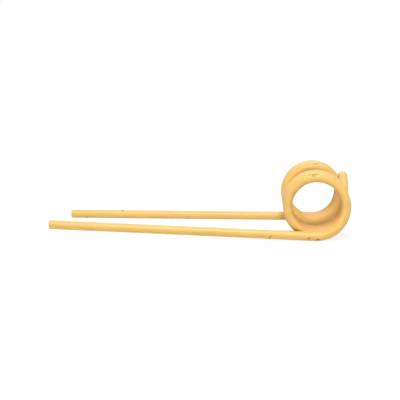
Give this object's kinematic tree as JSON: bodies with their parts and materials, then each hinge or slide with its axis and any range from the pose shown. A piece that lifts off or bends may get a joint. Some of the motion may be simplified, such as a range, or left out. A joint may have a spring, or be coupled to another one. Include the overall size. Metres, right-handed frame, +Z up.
{
  "type": "baler pick-up tine",
  "caption": "Sprung wire tine for a baler pick-up reel: coils on one axis joined by a mounting loop, each coil ending in a long straight leg.",
  "frame": {"origin": "on the coil axis, midway between the coils", "axes": "+X away from the leg tips, Y along the coil axis with the front coil at -Y, +Z up, towards the top of the mounting loop"},
  "size_m": [0.1852, 0.0836, 0.0412],
  "materials": {
    "yellow_paint": "gloss"
  },
  "bodies": {
    "root": {"pickup_tine": "yellow_paint"}
  },
  "joints": []
}
